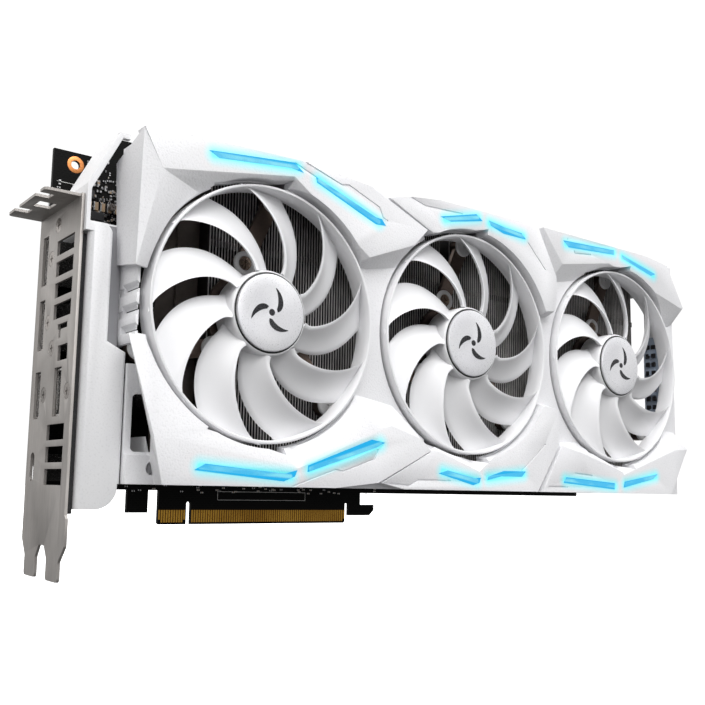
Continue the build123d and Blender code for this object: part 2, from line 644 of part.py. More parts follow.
with BuildPart() as button_housing:
    block(button_x - 3.0, button_x + 3.0, component_face, component_face - 4.2, 123.0, control_top)
    with BuildSketch(Plane.XY.offset(126.2)):
        with Locations((button_x, component_face - 2.1)):
            Circle(1.7)
    extrude(amount=5, mode=Mode.SUBTRACT)
save(button_housing, "button_housing")

with BuildPart() as button_cap:
    with BuildSketch(Plane.XY.offset(126.9)):
        with Locations((button_x, component_face - 2.1)):
            Circle(1.35)
    extrude(amount=control_top + 1.3 - 126.9)
    fillet(button_cap.edges().sort_by(Axis.Z)[-1], 0.3)
save(button_cap, "button_cap")

# ---- fans -----------------------------------------------------------------------------
shaft_radius = 1.5
hub_wall = 1.2
hub_back = -35.0
hub_floor = cap_front + 1.4
magnet_outer = hub_radius - hub_wall
magnet_inner = magnet_outer - 1.4
bearing_radius = 3.6


def turned(centre, radius, near, far, bore=0.0, mode=Mode.ADD):
    """Round piece or tube on a fan's axis between two depths, in the open builder."""
    with BuildSketch(front_plane(max(near, far))) as section:
        with Locations((centre, fan_height)):
            Circle(radius)
            if bore:
                Circle(bore, mode=Mode.SUBTRACT)
    extrude(section.sketch, amount=abs(far - near), mode=mode)


# radius, sweep angle, chord, thickness, pitch and forward distance of each slice, hub to ring
blade_stations = (
    (14.2, 0.0, 9.0, 1.8, 40.0, 40.6),
    (23.0, 9.0, 13.0, 1.6, 34.0, 41.2),
    (33.0, 22.0, 16.6, 1.4, 26.0, 42.0),
    (43.3, 38.0, 18.6, 1.2, 18.0, 42.9))

with BuildPart() as blade:
    for radius, sweep_angle, chord, thickness, pitch, forward in blade_stations:
        outward = Vector(cos(radians(sweep_angle)), sin(radians(sweep_angle)), 0)
        tangent = Vector(-outward.Y, outward.X, 0)
        origin = outward * radius + Vector(0, 0, forward)
        with BuildSketch(Plane(origin=origin, x_dir=tangent, z_dir=outward)):
            Rectangle(chord, thickness, rotation=pitch)
    loft(ruled=True)


def impeller(centre, turn):
    """Hub cup, swept blades and the ring that ties their tips together."""
    axis_plane = Plane(origin=(centre, 0, fan_height), x_dir=(1, 0, 0), z_dir=(0, -1, 0))
    with BuildPart(axis_plane) as wheel:
        turned(centre, fan_radius, ring_back, ring_front, bore=fan_radius - 1.2)
        turned(centre, hub_radius, hub_back, hub_floor)
        with PolarLocations(0, blade_count, start_angle=turn):
            add(blade.part)
        turned(centre, magnet_outer, hub_back, hub_floor + hub_wall, mode=Mode.SUBTRACT)
        turned(centre, shaft_radius + 1.4, hub_floor + hub_wall, hub_floor + hub_wall + 1.2)
        turned(centre, shaft_radius, hub_back, hub_floor, mode=Mode.SUBTRACT)
    return wheel


base_arms = (100.0, 220.0, 340.0)
boss_reach, boss_radius = 19.2, 3.6
foot_reach, foot_radius, foot_lag = 44.0, 4.2, 20.0


def round_fan(centre, reach, lag=0.0):
    """Three places round one fan's axis, in line with its arms or lagging behind them by an angle."""
    return [(centre + reach * cos(radians(arm - lag)), fan_height + reach * sin(radians(arm - lag)))
            for arm in base_arms]


for index, (centre, turn) in enumerate(zip(fan_centres, fan_turns)):
    fan = f"fan_{index + 1}"
    save(impeller(centre, turn), f"{fan}_impeller")

    with BuildPart() as hub_cap:
        turned(centre, cap_radius, hub_floor, cap_front)
        fillet(hub_cap.faces().sort_by(Axis.Y)[0].edges(), 0.5)
    save(hub_cap, f"{fan}_hub_cap")

    with BuildPart() as magnet_ring:
        turned(centre, magnet_outer, hub_back - 1.0, hub_back - 9.0, bore=magnet_inner)
    save(magnet_ring, f"{fan}_magnet_ring")

    with BuildPart() as shaft:
        turned(centre, shaft_radius, motor_plane - 0.9, hub_floor)
    save(shaft, f"{fan}_shaft")

    with BuildPart() as bearing:
        turned(centre, bearing_radius, motor_plane - 0.6, -43.0, bore=shaft_radius + 0.03)
    save(bearing, f"{fan}_bearing")

    with BuildPart() as stator:
        turned(centre, 6.0, -37.0, -42.0, bore=bearing_radius + 0.8)
        with BuildSketch(front_plane(-37.0)):
            with Locations((centre, fan_height)):
                with PolarLocations(7.6, 4):
                    Rectangle(4.8, 3.2)
                with PolarLocations(10.4, 4):
                    Rectangle(1.6, 8.0)
        extrude(amount=5.0)
    save(stator, f"{fan}_stator")

    with BuildPart() as motor_base:
        turned(centre, 17.0, motor_plane + 1.8, motor_plane)
        # each arm runs out from its screw boss to a round foot that rests on the fins
        with BuildSketch(front_plane(motor_plane + 1.8)):
            for (inner_x, inner_z), (outer_x, outer_z) in zip(
                    round_fan(centre, boss_reach), round_fan(centre, foot_reach, foot_lag)):
                with Locations(((inner_x + outer_x) / 2, (inner_z + outer_z) / 2)):
                    Rectangle(27, 6.4, rotation=degrees(atan2(outer_z - inner_z, outer_x - inner_x)))
        extrude(amount=1.8)
        with BuildSketch(front_plane(fin_front)):
            with Locations(*round_fan(centre, boss_reach)):
                Circle(boss_radius)
            with Locations(*round_fan(centre, foot_reach, foot_lag)):
                Circle(foot_radius)
        extrude(amount=fin_front - motor_plane)
        turned(centre, bearing_radius + 0.8, motor_plane, -42.5)
        turned(centre, bearing_radius, motor_plane - 0.6, -42.5, mode=Mode.SUBTRACT)
        with BuildSketch(front_plane(fin_front)):
            with Locations(*round_fan(centre, boss_reach)):
                Circle(1.3)
        extrude(amount=5, mode=Mode.SUBTRACT)
    save(motor_base, f"{fan}_motor_base")

all_bosses = [place for centre in fan_centres for place in round_fan(centre, boss_reach)]
fan_screws = screws(all_bosses, motor_plane, 2.4, 1.0, 1.25, 2.8, 1)
save(fan_screws, "fan_screws")
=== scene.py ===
import bmesh
import bpy
import math
import random
from mathutils import Matrix, Vector


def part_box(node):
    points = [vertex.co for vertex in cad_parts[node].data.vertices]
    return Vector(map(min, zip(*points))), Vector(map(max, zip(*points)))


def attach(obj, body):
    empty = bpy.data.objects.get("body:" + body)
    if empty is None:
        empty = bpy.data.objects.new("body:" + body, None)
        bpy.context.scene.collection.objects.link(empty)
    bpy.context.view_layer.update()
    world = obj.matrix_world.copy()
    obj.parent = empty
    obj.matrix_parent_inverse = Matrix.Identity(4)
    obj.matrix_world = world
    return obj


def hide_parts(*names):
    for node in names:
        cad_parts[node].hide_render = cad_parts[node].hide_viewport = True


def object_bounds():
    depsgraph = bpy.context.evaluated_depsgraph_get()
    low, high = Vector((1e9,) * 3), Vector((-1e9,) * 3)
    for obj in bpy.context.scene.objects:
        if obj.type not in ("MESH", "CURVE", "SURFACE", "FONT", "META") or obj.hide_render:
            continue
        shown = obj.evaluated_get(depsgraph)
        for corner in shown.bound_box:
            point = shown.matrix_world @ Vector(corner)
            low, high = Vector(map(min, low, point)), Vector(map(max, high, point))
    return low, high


# Looks for the triple-fan graphics card. Everything is in metres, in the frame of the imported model.
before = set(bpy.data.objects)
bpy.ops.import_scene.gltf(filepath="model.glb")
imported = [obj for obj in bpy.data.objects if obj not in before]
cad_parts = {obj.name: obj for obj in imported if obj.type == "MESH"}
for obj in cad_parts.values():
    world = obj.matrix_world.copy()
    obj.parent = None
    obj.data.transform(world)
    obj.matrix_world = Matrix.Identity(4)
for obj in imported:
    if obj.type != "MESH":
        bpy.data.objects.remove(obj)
cad_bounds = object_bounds()
MM = 0.001
FANS = (1, 2, 3)
BOARD_FACE = -0.785
BOARD_BACK = 0.785
TRIM_FACE = -49.4
BAR_FACE = -49.5
SUPPORT_HOLE = (-49.6, 125.2)
random.seed(7)


# ---- helpers: placing finished pieces -------------------------------------------------
def link(name, mesh, body, material, replaces=(), sharp=None):
    """Turns a mesh into a piece that rides a body and material."""
    piece = bpy.data.objects.new(name, mesh)
    bpy.context.scene.collection.objects.link(piece)
    mesh.materials.clear()
    mesh.materials.append(material)
    for face in mesh.polygons:
        face.use_smooth = sharp is not None
    if sharp is not None:
        mesh.set_sharp_from_angle(angle=math.radians(sharp))
    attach(piece, body)
    if replaces:
        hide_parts(*replaces)
    return piece


def mesh_from(name, bm):
    """Writes a bmesh out as a mesh with outward normals."""
    bmesh.ops.recalc_face_normals(bm, faces=bm.faces)
    mesh = bpy.data.meshes.new(name)
    bm.to_mesh(mesh)
    bm.free()
    return mesh


def add_block(bm, low, high, bevel=0.0):
    """Box between two corners in millimetres, with softened edges if asked."""
    low, high = Vector(low) * MM, Vector(high) * MM
    made = bmesh.ops.create_cube(bm, size=1.0)
    size = high - low
    for vert in made["verts"]:
        vert.co = Vector(((low[i] + high[i]) / 2 + vert.co[i] * abs(size[i]) for i in range(3)))
    if bevel:
        edges = list({edge for vert in made["verts"] for edge in vert.link_edges})
        bmesh.ops.bevel(bm, geom=edges, offset=bevel * MM, segments=2, profile=0.6, affect="EDGES")


def add_lathe(bm, profile, centre, steps=96, closed=True):
    """Turns a profile of (radius, y) points, in millimetres, about a fan axis at (x, z)."""
    rings = []
    for radius, depth in profile:
        ring = []
        for step in range(steps):
            turn = 2 * math.pi * step / steps
            ring.append(bm.verts.new((
                (centre[0] + radius * math.cos(turn)) * MM, depth * MM,
                (centre[1] + radius * math.sin(turn)) * MM)))
        rings.append(ring)
    pairs = list(zip(rings, rings[1:]))
    if closed:
        pairs.append((rings[-1], rings[0]))
    for inner, outer in pairs:
        for step in range(steps):
            following = (step + 1) % steps
            bm.faces.new((inner[step], inner[following], outer[following], outer[step]))
    if not closed:
        for ring in (rings[0], rings[-1]):
            bm.faces.new(ring)


def add_prism(bm, outline, near, far):
    """Flat outline of (x, z) points in millimetres, extruded between two depths."""
    front = [bm.verts.new((x * MM, near * MM, z * MM)) for x, z in outline]
    back = [bm.verts.new((x * MM, far * MM, z * MM)) for x, z in outline]
    bm.faces.new(front)
    bm.faces.new(back)
    for i in range(len(outline)):
        j = (i + 1) % len(outline)
        bm.faces.new((front[i], front[j], back[j], back[i]))


def stroke(path, width):
    """Outline of a mitred line of some width along (x, z) points."""
    points = [Vector(point) for point in path]
    sides = []
    for i, point in enumerate(points):
        before = (point - points[i - 1]).normalized() if i else None
        after = (points[i + 1] - point).normalized() if i + 1 < len(points) else None
        along = ((before or after) + (after or before)).normalized()
        normal = Vector((-along.y, along.x))
        lean = normal.dot(Vector((-(after or before).y, (after or before).x)))
        sides.append(normal * width / 2 / max(lean, 0.4))
    left = [point + side for point, side in zip(points, sides)]
    right = [point - side for point, side in zip(points, sides)]
    return [tuple(point) for point in left + right[::-1]]


def apply_modifiers(piece):
    """Replaces a piece's mesh with what its modifiers make of it."""
    graph = bpy.context.evaluated_depsgraph_get()
    mesh = bpy.data.meshes.new_from_object(piece.evaluated_get(graph))
    piece.modifiers.clear()
    piece.data = mesh


def shell(node, material, bevel, cuts=()):
    """Finished version of a CAD node: the same solid with engraved lines and softened edges."""
    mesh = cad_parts[node].data.copy()
    bm = bmesh.new()
    bm.from_mesh(mesh)
    bmesh.ops.remove_doubles(bm, verts=bm.verts, dist=2e-6)
    bmesh.ops.dissolve_limit(bm, angle_limit=math.radians(0.4), verts=bm.verts, edges=bm.edges)
    bm.to_mesh(mesh)
    bm.free()
    piece = bpy.data.objects.new(node + "_finish", mesh)
    bpy.context.scene.collection.objects.link(piece)
    if cuts:
        bm = bmesh.new()
        for outline, near, far in cuts:
            add_prism(bm, outline, near, far)
        cutter = bpy.data.objects.new("cutter", mesh_from("cutter", bm))
        bpy.context.scene.collection.objects.link(cutter)
        cut = piece.modifiers.new("engrave", "BOOLEAN")
        cut.object = cutter
        cut.operation = "DIFFERENCE"
        cut.solver = "EXACT"
        cut.use_self = True
        apply_modifiers(piece)
        bpy.data.objects.remove(cutter)
    soften = piece.modifiers.new("soften", "BEVEL")
    soften.width = bevel * MM
    soften.segments = 2
    soften.limit_method = "ANGLE"
    soften.angle_limit = math.radians(25.0)
    soften.harden_normals = False
    soften.use_clamp_overlap = True
    apply_modifiers(piece)
    finished = piece.data
    bpy.data.objects.remove(piece)
    return link(node + "_finish", finished, "card", material, (node,), sharp=24)


# ---- materials ---------------------------------------------------------------------------
class Recipe:
    """Builds one procedural material node by node."""

    def __init__(self, name):
        self.material = bpy.data.materials.new(name)
        self.material.use_nodes = True
        self.tree = self.material.node_tree
        self.shader = self.tree.nodes["Principled BSDF"]
        self.place = self.tree.nodes.new("ShaderNodeTexCoord").outputs["Object"]

    def node(self, kind, **values):
        made = self.tree.nodes.new(kind)
        for key, value in values.items():
            if key in made.inputs.keys():
                made.inputs[key].default_value = value
            else:
                setattr(made, key, value)
        return made

    def join(self, output, target):
        self.tree.links.new(output, target)

    def noise(self, scale, detail=3.0, stretch=None):
        texture = self.node("ShaderNodeTexNoise", Scale=scale, Detail=detail)
        place = self.place
        if stretch:
            mapping = self.node("ShaderNodeMapping")
            mapping.inputs["Scale"].default_value = stretch
            self.join(place, mapping.inputs["Vector"])
            place = mapping.outputs["Vector"]
        self.join(place, texture.inputs["Vector"])
        return texture.outputs["Fac"]

    def ramp(self, value, low, high, first, last):
        made = self.node("ShaderNodeMapRange")
        made.inputs["From Min"].default_value = low
        made.inputs["From Max"].default_value = high
        made.inputs["To Min"].default_value = first
        made.inputs["To Max"].default_value = last
        self.join(value, made.inputs["Value"])
        return made.outputs["Result"]

    def mix(self, factor, first, second):
        made = self.node("ShaderNodeMix", data_type="RGBA")
        self.join(factor, made.inputs["Factor"])
        for value, socket in ((first, made.inputs["A"]), (second, made.inputs["B"])):
            if isinstance(value, tuple):
                socket.default_value = (*value, 1.0)
            else:
                self.join(value, socket)
        return made.outputs["Result"]

    def to_lines(self, lines):
        """Distance from a point of the surface to the nearest of some line segments, in metres."""
        nearest = None
        for start, end in lines:
            first, last = Vector(start) * MM, Vector(end) * MM
            along = last - first
            offset = self.node("ShaderNodeVectorMath", operation="SUBTRACT")
            self.join(self.place, offset.inputs[0])
            offset.inputs[1].default_value = first
            share = self.node("ShaderNodeVectorMath", operation="DOT_PRODUCT")
            self.join(offset.outputs["Vector"], share.inputs[0])
            share.inputs[1].default_value = along / along.length_squared
            held = self.node("ShaderNodeClamp")
            self.join(share.outputs["Value"], held.inputs["Value"])
            reach = self.node("ShaderNodeVectorMath", operation="SCALE")
            reach.inputs[0].default_value = along
            self.join(held.outputs["Result"], reach.inputs["Scale"])
            gap = self.node("ShaderNodeVectorMath", operation="DISTANCE")
            self.join(offset.outputs["Vector"], gap.inputs[0])
            self.join(reach.outputs["Vector"], gap.inputs[1])
            if nearest is None:
                nearest = gap.outputs["Value"]
            else:
                least = self.node("ShaderNodeMath", operation="MINIMUM")
                self.join(nearest, least.inputs[0])
                self.join(gap.outputs["Value"], least.inputs[1])
                nearest = least.outputs["Value"]
        return nearest

    def bump(self, height, distance):
        made = self.node("ShaderNodeBump", Distance=distance, Strength=1.0)
        self.join(height, made.inputs["Height"])
        previous = self.shader.inputs["Normal"]
        if previous.is_linked:
            self.join(previous.links[0].from_socket, made.inputs["Normal"])
        self.join(made.outputs["Normal"], previous)


def moulded(name, light, shade, rough=0.5, grain=1500.0, depth=0.00011, bars=()):
    """Grained moulded plastic, with a painted glow (cyan tint and faint emission) round the line segments in
    bars, standing in for the light bars' spill.
    """
    made = Recipe(name)
    cloud = made.ramp(made.noise(26.0, 4.0), 0.35, 0.65, 0.0, 1.0)
    speck = made.noise(grain, 2.0)
    colour = made.mix(cloud, light, shade)
    speck_tone = made.ramp(speck, 0.30, 0.46, 0.78, 1.0)
    tone = made.node("ShaderNodeMix", data_type="RGBA", blend_type="MULTIPLY")
    tone.inputs["Factor"].default_value = 0.35
    made.join(colour, tone.inputs["A"])
    made.join(speck_tone, tone.inputs["B"])
    colour = tone.outputs["Result"]
    made.join(made.ramp(speck, 0.3, 0.7, rough + 0.10, rough - 0.08), made.shader.inputs["Roughness"])
    made.bump(speck, depth)
    # painted glow: near each bar the colour turns cyan and the surface emits, in place of light cast by the
    # bar
    nearest = made.to_lines(bars)
    if nearest is not None:
        fade = made.ramp(nearest, 0.9 * MM, 4.9 * MM, 1.0, 0.0)
        soft = made.node("ShaderNodeMath", operation="POWER")
        made.join(fade, soft.inputs[0])
        soft.inputs[1].default_value = 1.7
        colour = made.mix(soft.outputs["Value"], colour, (0.22, 0.82, 0.86))
        made.shader.inputs["Emission Color"].default_value = (0.0, 0.60, 0.72, 1.0)
        made.join(made.ramp(soft.outputs["Value"], 0.0, 1.0, 0.0, 0.32),
                  made.shader.inputs["Emission Strength"])
    made.join(colour, made.shader.inputs["Base Color"])
    return made.material


def smooth_plastic(name, colour, rough=0.34, coat=0.0, tint=0.04):
    """Satin moulding with faint flow marks and fine handling texture."""
    made = Recipe(name)
    flow = made.ramp(made.noise(34.0, 3.0), 0.3, 0.7, 0.0, 1.0)
    darker = tuple(channel * (1 - tint) for channel in colour)
    made.join(made.mix(flow, colour, darker), made.shader.inputs["Base Color"])
    fine = made.noise(5200.0, 2.0)
    made.join(made.ramp(fine, 0.3, 0.7, rough - 0.04, rough + 0.07), made.shader.inputs["Roughness"])
    made.bump(fine, 0.000012)
    made.shader.inputs["Coat Weight"].default_value = coat
    return made.material


def metal(name, light, shade, rough=0.3, stretch=(1.0, 1.0, 1.0), scale=900.0, depth=0.00001,
          metallic=1.0):
    """Plated or brushed metal: streaks along one direction, cloudy tone, small wear in the gloss."""
    made = Recipe(name)
    patch = made.ramp(made.noise(55.0, 4.0), 0.35, 0.65, 0.0, 1.0)
    streak = made.noise(scale, 3.0, stretch)
    colour = made.mix(patch, light, shade)
    streak_tone = made.node("ShaderNodeMix", data_type="RGBA", blend_type="MULTIPLY")
    streak_tone.inputs["Factor"].default_value = 0.6
    made.join(colour, streak_tone.inputs["A"])
    made.join(made.ramp(streak, 0.3, 0.7, 0.72, 1.08), streak_tone.inputs["B"])
    made.join(streak_tone.outputs["Result"], made.shader.inputs["Base Color"])
    made.join(made.ramp(streak, 0.3, 0.7, rough - 0.07, rough + 0.12), made.shader.inputs["Roughness"])
    made.shader.inputs["Metallic"].default_value = metallic
    made.bump(streak, depth)
    return made.material


def socket_shell(name, lip, deep, front):
    """Plated socket shell: bright at its lip, with painted shade darkening it where it runs back under the
    shroud.
    """
    made = Recipe(name)
    where = made.node("ShaderNodeSeparateXYZ")
    made.join(made.place, where.inputs["Vector"])
    # painted shade: colour fades from the bright lip to near black over 1.3 mm back from the front
    back = made.ramp(where.outputs["X"], front * MM, (front + 1.3) * MM, 0.0, 1.0)
    made.join(made.mix(back, lip, deep), made.shader.inputs["Base Color"])
    streak = made.noise(1500.0, 3.0)
    made.join(made.ramp(streak, 0.3, 0.7, 0.18, 0.38), made.shader.inputs["Roughness"])
    made.shader.inputs["Metallic"].default_value = 1.0
    made.bump(streak, 0.00001)
    return made.material


def spun_white(name, light, shade):
    """Pearl finish turned on a lathe: gloss stretched round the centre, fine circular lines."""
    made = Recipe(name)
    patch = made.ramp(made.noise(70.0, 3.0), 0.35, 0.65, 0.0, 1.0)
    made.join(made.mix(patch, light, shade), made.shader.inputs["Base Color"])
    fine = made.noise(3800.0, 2.0)
    made.join(made.ramp(fine, 0.3, 0.7, 0.26, 0.36), made.shader.inputs["Roughness"])
    made.shader.inputs["Metallic"].default_value = 0.45
    made.shader.inputs["Anisotropic"].default_value = 0.75
    around = made.node("ShaderNodeTangent", direction_type="RADIAL", axis="Y")
    made.join(around.outputs["Tangent"], made.shader.inputs["Tangent"])
    made.bump(fine, 0.000004)
    return made.material


def glowing(name, cold, deep, bars):
    """Lit translucent bar: paler along its middle, azure at its rims, with drifting brightness."""
    made = Recipe(name)
    rim = made.ramp(made.to_lines(bars), 0.35 * MM, 1.0 * MM, 0.0, 1.0)
    drift = made.ramp(made.noise(60.0, 2.0, (1.0, 1.0, 3.0)), 0.42, 0.60, 0.25, 1.0)
    depth = made.node("ShaderNodeMath", operation="MAXIMUM")
    made.join(rim, depth.inputs[0])
    pale = made.node("ShaderNodeMath", operation="SUBTRACT")
    pale.inputs[0].default_value = 1.0
    made.join(drift, pale.inputs[1])
    made.join(pale.outputs["Value"], depth.inputs[1])
    colour = made.mix(depth.outputs["Value"], cold, deep)
    made.join(colour, made.shader.inputs["Emission Color"])
    made.join(made.ramp(made.noise(2400.0, 2.0), 0.3, 0.7, 0.94, 1.06),
              made.shader.inputs["Emission Strength"])
    made.shader.inputs["Base Color"].default_value = (0.0, 0.03, 0.05, 1.0)
    made.shader.inputs["Roughness"].default_value = 0.35
    return made.material


def solder_mask(name):
    """Black board: faint copper runs under the mask and a fine glass-cloth texture."""
    made = Recipe(name)
    runs = made.node("ShaderNodeTexBrick", Scale=310.0)
    runs.inputs["Color1"].default_value = (0.0, 0.0, 0.0, 1.0)
    runs.inputs["Color2"].default_value = (0.35, 0.35, 0.35, 1.0)
    runs.inputs["Mortar"].default_value = (1.0, 1.0, 1.0, 1.0)
    runs.inputs["Mortar Size"].default_value = 0.06
    turned = made.node("ShaderNodeMapping")
    turned.inputs["Rotation"].default_value = (math.radians(90), 0.0, 0.0)
    made.join(made.place, turned.inputs["Vector"])
    made.join(turned.outputs["Vector"], runs.inputs["Vector"])
    cloud = made.ramp(made.noise(120.0, 4.0), 0.4, 0.6, 0.0, 1.0)
    plain = made.mix(cloud, (0.0015, 0.0015, 0.0015), (0.003, 0.003, 0.003))
    made.join(made.mix(runs.outputs["Color"], plain, (0.006, 0.0057, 0.0054)),
              made.shader.inputs["Base Color"])
    made.shader.inputs["Specular IOR Level"].default_value = 0.07
    cloth = made.noise(4200.0, 2.0)
    made.join(made.ramp(cloth, 0.3, 0.7, 0.42, 0.56), made.shader.inputs["Roughness"])
    made.bump(cloth, 0.00001)
    return made.material


WHITE = (0.82, 0.82, 0.835)
WHITE_SHADE = (0.79, 0.79, 0.81)
fan_white = smooth_plastic("fan_white", (0.83, 0.83, 0.845), rough=0.36, coat=0.15)
cap_white = spun_white("cap_white", (0.84, 0.84, 0.86), (0.79, 0.79, 0.82))
shroud_white = moulded("shroud_white", WHITE, WHITE_SHADE)
frame_white = moulded("frame_white", (0.82, 0.82, 0.83), (0.79, 0.79, 0.805), rough=0.46, depth=0.00004)
bracket_metal = metal("bracket_metal", (0.47, 0.445, 0.425), (0.38, 0.358, 0.34), rough=0.46,
                      metallic=0.75, stretch=(1.0, 1.0, 0.06), scale=1500.0, depth=0.000012)
screw_metal = metal("screw_metal", (0.33, 0.30, 0.28), (0.22, 0.20, 0.185), rough=0.28, scale=1800.0)
arm_screw = metal("arm_screw", (0.40, 0.32, 0.25), (0.24, 0.185, 0.145), rough=0.26, scale=1800.0)
socket_metal = metal("socket_metal", (0.82, 0.81, 0.80), (0.70, 0.69, 0.68), rough=0.20, scale=1500.0)
# the fin sheets and their front edges are shaded and lit copies of one aluminium: near black as painted
# shade, pale as painted highlight
shaded_fin_metal = metal("shaded_fin_metal", (0.060, 0.058, 0.057), (0.040, 0.038, 0.037), rough=0.42,
                  stretch=(1.0, 1.0, 0.2), scale=500.0, depth=0.000004)
fin_edge_highlight = metal("fin_edge_highlight", (0.72, 0.70, 0.69), (0.38, 0.37, 0.36), rough=0.45, metallic=0.45,
                 stretch=(1.0, 1.0, 0.3), scale=400.0, depth=0.000004)
pipe_metal = metal("pipe_metal", (0.46, 0.35, 0.28), (0.30, 0.225, 0.18), rough=0.22,
                   stretch=(0.05, 1.0, 1.0), scale=1500.0)
arm_metal = metal("arm_metal", (0.20, 0.155, 0.13), (0.165, 0.125, 0.105), rough=0.36, scale=1200.0)
lug_grey = smooth_plastic("lug_grey", (0.70, 0.70, 0.70), rough=0.30)
cover_brown = metal("cover_brown", (0.105, 0.088, 0.078), (0.075, 0.062, 0.055), rough=0.42, scale=700.0,
                    metallic=0.5)
copper_plated = metal("copper_plated", (0.62, 0.58, 0.55), (0.52, 0.48, 0.45), rough=0.22, scale=1400.0)
gold_plate = metal("gold_plate", (0.62, 0.34, 0.055), (0.40, 0.20, 0.03), rough=0.30, scale=2200.0)
bare_copper = metal("bare_copper", (0.86, 0.33, 0.10), (0.74, 0.26, 0.07), rough=0.34, scale=2000.0,
                    metallic=0.55)
solder = metal("solder", (0.66, 0.66, 0.66), (0.50, 0.50, 0.51), rough=0.30, scale=3000.0)
board_black = solder_mask("board_black")
legend_white = smooth_plastic("legend_white", (0.72, 0.72, 0.70), rough=0.55)
chip_black = smooth_plastic("chip_black", (0.018, 0.018, 0.020), rough=0.42, tint=0.3)
nylon_black = smooth_plastic("nylon_black", (0.016, 0.016, 0.017), rough=0.38, tint=0.3)
ferrite_grey = moulded("ferrite_grey", (0.10, 0.10, 0.105), (0.075, 0.075, 0.08), rough=0.52)
port_metal = socket_shell("port_metal", (0.86, 0.85, 0.84), (0.035, 0.034, 0.033), -57.2)
foam_black = moulded("foam_black", (0.020, 0.020, 0.021), (0.012, 0.012, 0.013), rough=0.85,
                     grain=1500.0, depth=0.00012)
# black for the ring that paints the shade in the groove round each fan cap
groove_shade_black = smooth_plastic("groove_shade_black", (0.012, 0.012, 0.013), rough=0.5, tint=0.2)
emblem_grey = metal("emblem_grey", (0.10, 0.10, 0.105), (0.06, 0.06, 0.065), rough=0.26, scale=2400.0)
ceramic_tan = smooth_plastic("ceramic_tan", (0.34, 0.24, 0.15), rough=0.4, tint=0.15)
silicon_dark = metal("silicon_dark", (0.09, 0.09, 0.11), (0.07, 0.07, 0.085), rough=0.12, scale=300.0)
backplate_paint = moulded("backplate_paint", (0.79, 0.795, 0.81), (0.755, 0.76, 0.78), rough=0.40,
                          grain=3400.0, depth=0.00003)
driver_blue = smooth_plastic("driver_blue", (0.42, 0.49, 0.60), rough=0.35, tint=0.2)
# grey for the sheet that paints the shade in the side recess
recess_shade_grey = smooth_plastic("recess_shade_grey", (0.30, 0.30, 0.315), rough=0.5, tint=0.08)
winding_copper = metal("winding_copper", (0.42, 0.19, 0.08), (0.32, 0.13, 0.05), rough=0.35, scale=1800.0)


def paint(material, *nodes):
    """Gives CAD nodes that stay as they are their finish."""
    for node in nodes:
        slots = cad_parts[node].data.materials
        slots.clear()
        slots.append(material)


paint(board_black, "pcb")
paint(chip_black, "gpu_package", "memory_chips")
paint(silicon_dark, "gpu_die")
paint(ferrite_grey, "power_chokes")
paint(nylon_black, "power_connectors", "switch_housing", "button_housing")
paint(fan_white, "switch_slider", "button_cap")
paint(port_metal, "displayport_sockets", "hdmi_sockets", "usb_c_socket")
paint(screw_metal, "bracket_screws", "clamp_screws", "backplate_screws")
paint(arm_screw, "fan_screws")
paint(foam_black, "emi_gasket")
paint(copper_plated, "cold_plate", "retention_plate")
# the memory plate takes the fins' near-black painted shade
paint(shaded_fin_metal, "memory_plate")
paint(pipe_metal, "heat_pipes")
paint(solder, "capacitors")
paint(driver_blue, "light_driver_board")
for index in FANS:
    paint(foam_black, f"fan_{index}_magnet_ring")
    paint(socket_metal, f"fan_{index}_shaft")
    paint(gold_plate, f"fan_{index}_bearing")
    paint(winding_copper, f"fan_{index}_stator")
    paint(arm_metal, f"fan_{index}_motor_base")

# ---- shroud panels ---------------------------------------------------------------------------
# centre lines of the engraved grooves and of the light bars, as (x, z) points
grooves = {
    "upper_trim_1": (
        ((14.1, 127.7), (31.3, 122.6), (34.6, 123.2), (49.0, 117.8), (50.7, 114.2), (53.1, 113.4)),
        ((10.6, 126.1), (19.8, 123.0))),
    "upper_trim_2": (
        ((63.9, 125.1), (72.0, 123.1), (91.9, 123.8)),
        ((130.4, 119.1), (141.6, 108.6))),
    "upper_trim_3": (
        ((156.7, 125.7), (156.7, 124.7)),
        ((160.9, 120.7), (161.5, 119.4), (172.6, 120.8))),
    "lower_trim_1": (
        ((12.6, 14.4), (30.4, 20.5), (34.0, 20.0), (48.0, 24.8), (49.6, 28.3)),),
    "lower_trim_2": (
        ((51.3, 16.5), (64.4, 15.6), (68.9, 17.8), (85.4, 17.8)),
        ((125.4, 22.6), (140.0, 33.9))),
    "lower_trim_3": (
        ((158.8, 22.4), (171.1, 21.6)),
        ((141.5, 16.5), (153.9, 16.4))),
}
bar_lines = {
    "upper_trim_1": (((-21, 121.6), (11.5, 124.6)), ((21, 122), (48.5, 112.2))),
    "upper_trim_2": (((82.5, 119.8), (100.5, 124.0)), ((107.5, 122.9), (127.5, 121.0))),
    "upper_trim_3": (((155.5, 122.8), (189.2, 124.6)), ((196, 123.6), (219.8, 118.6))),
    "lower_trim_1": (((-22, 20), (11.8, 17.8)), ((20, 20.5), (50.5, 30.2))),
    "lower_trim_2": (((81.5, 21), (99.5, 17.9)), ((106, 19.2), (126, 21.3))),
    "lower_trim_3": (((152.5, 19.4), (186, 17.3)), ((194, 18.2), (217, 22.3))),
}
for row in ("upper", "lower"):
    middles = [((ax, BAR_FACE, az), (bx, BAR_FACE, bz)) for node, lines in bar_lines.items()
               if node.startswith(row) for (ax, az), (bx, bz) in lines]
    lit = glowing(row + "_glow", (0.22, 0.70, 0.84), (0.0, 0.40, 0.78), middles)
    paint(lit, f"light_bars_{row}")
